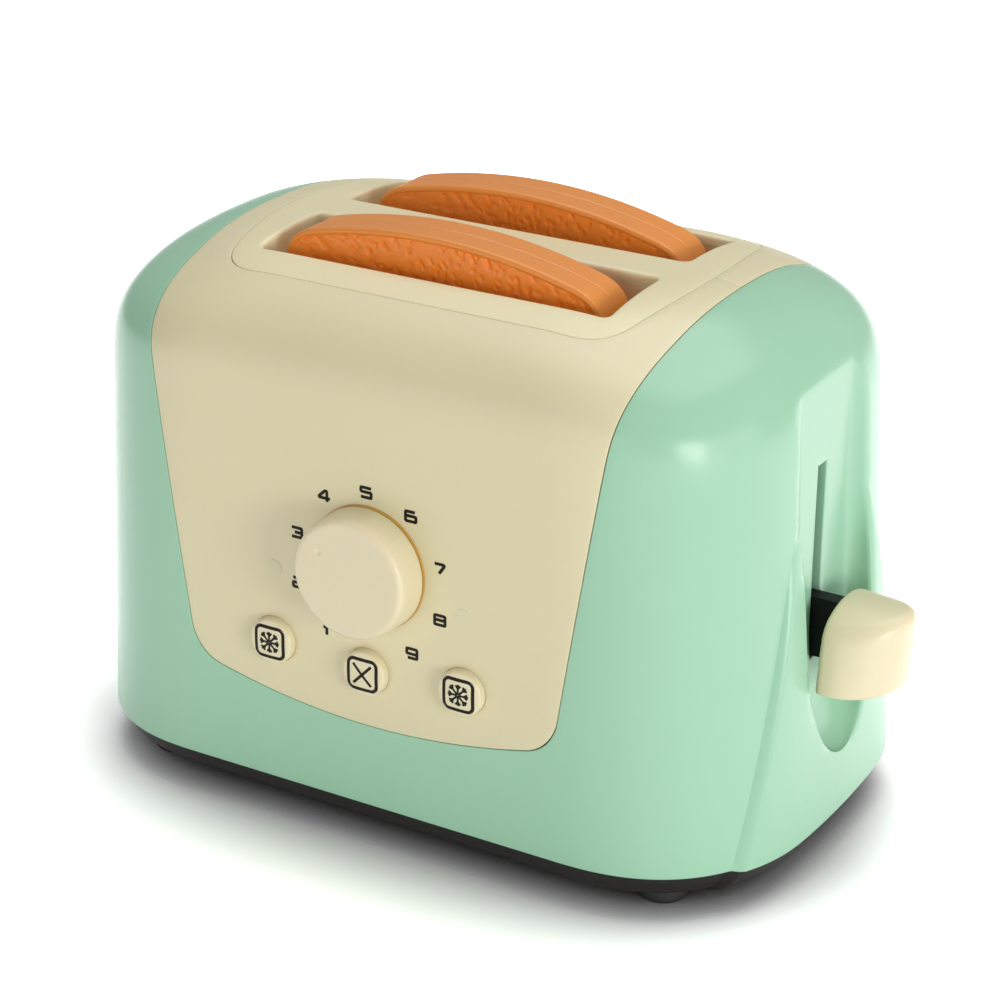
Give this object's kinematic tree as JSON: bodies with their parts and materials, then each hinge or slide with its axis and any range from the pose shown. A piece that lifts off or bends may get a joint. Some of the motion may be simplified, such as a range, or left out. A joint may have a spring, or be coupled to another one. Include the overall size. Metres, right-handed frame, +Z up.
{
  "type": "toy toaster",
  "caption": "Toy pop-up toaster: rounded shell with cream panels, wind-up timer knob, push buttons, press-down side lever and toast slices that lift out of the slots.",
  "frame": {"origin": "on the ground under the middle of the overall box", "axes": "+Z up, the panel with the timer faces -Y, the lever end is +X"},
  "size_m": [0.1938, 0.119, 0.1347],
  "materials": {
    "mint_plastic": "glossy moulded",
    "cream_plastic": "satin gloss moulded",
    "pale_cream_plastic": "satin gloss moulded",
    "black_plastic": "fine grained",
    "black_rubber": "matte",
    "toast_plastic": "pitted, satin",
    "steel": "plain",
    "brass": "plain",
    "white_plastic": "plain"
  },
  "bodies": {
    "housing": {"body_shell": "mint_plastic", "front_panel": "cream_plastic", "back_panel": "cream_plastic", "slot_bezel": "cream_plastic", "base_plate": "black_plastic", "timer_front_plate": "brass", "timer_back_plate": "brass", "mainspring": "steel", "timer_screw_1": "steel", "timer_screw_2": "steel", "button_carrier": "white_plastic", "carrier_screw_1": "steel", "carrier_screw_2": "steel", "defrost_button_left_spring": "steel", "cancel_button_spring": "steel", "defrost_button_right_spring": "steel", "guide_post_left": "steel", "guide_post_right": "steel", "lift_spring": "steel", "latch_pin": "steel", "foot_1": "black_rubber", "base_screw_1": "steel", "foot_2": "black_rubber", "base_screw_2": "steel", "foot_3": "black_rubber", "base_screw_3": "steel", "foot_4": "black_rubber", "base_screw_4": "steel"},
    "timer": {"timer_knob": "pale_cream_plastic", "timer_arbor": "steel", "main_gear": "brass"},
    "governor": {"governor": "steel"},
    "defrost_left": {"defrost_button_left": "pale_cream_plastic"},
    "cancel": {"cancel_button": "pale_cream_plastic"},
    "defrost_right": {"defrost_button_right": "pale_cream_plastic"},
    "carriage": {"carriage": "black_plastic", "lever_knob": "pale_cream_plastic"},
    "latch": {"latch": "white_plastic"},
    "toast_front": {"toast_front": "toast_plastic"},
    "toast_back": {"toast_back": "toast_plastic"}
  },
  "joints": [
    {"name": "timer_turn", "type": "hinge", "parent": "housing", "child": "timer", "pos_m": [-0.00706, -0.05387, 0.0691], "axis": [0, 1, 0], "range_deg": [-130, 194]},
    {"name": "governor_spin", "type": "hinge", "parent": "housing", "child": "governor", "pos_m": [0.01114, -0.03987, 0.0691], "axis": [0, 1, 0], "continuous": true},
    {"name": "defrost_left_press", "type": "slide", "parent": "housing", "child": "defrost_left", "axis": [0, 1, 0], "range_m": [0, 0.0016], "stiffness_N_per_m": 150, "springref_m": -0.003},
    {"name": "cancel_press", "type": "slide", "parent": "housing", "child": "cancel", "axis": [0, 1, 0], "range_m": [0, 0.0016], "stiffness_N_per_m": 150, "springref_m": -0.003},
    {"name": "defrost_right_press", "type": "slide", "parent": "housing", "child": "defrost_right", "axis": [0, 1, 0], "range_m": [0, 0.0016], "stiffness_N_per_m": 150, "springref_m": -0.003},
    {"name": "carriage_lift", "type": "slide", "parent": "housing", "child": "carriage", "axis": [0, 0, 1], "range_m": [0, 0.03], "deforming": ["lift_spring"]},
    {"name": "latch_rock", "type": "hinge", "parent": "housing", "child": "latch", "pos_m": [-0.00746, -0.02947, 0.049], "axis": [-1, 0, 0], "range_deg": [0, 15]},
    {"name": "toast_front_lift", "type": "slide", "parent": "carriage", "child": "toast_front", "axis": [0, 0, 1], "range_m": [0, 0.09]},
    {"name": "toast_back_lift", "type": "slide", "parent": "carriage", "child": "toast_back", "axis": [0, 0, 1], "range_m": [0, 0.09]}
  ],
  "couplings": [
    {"joint": "governor_spin", "follows": "timer_turn", "ratio": -4}
  ]
}
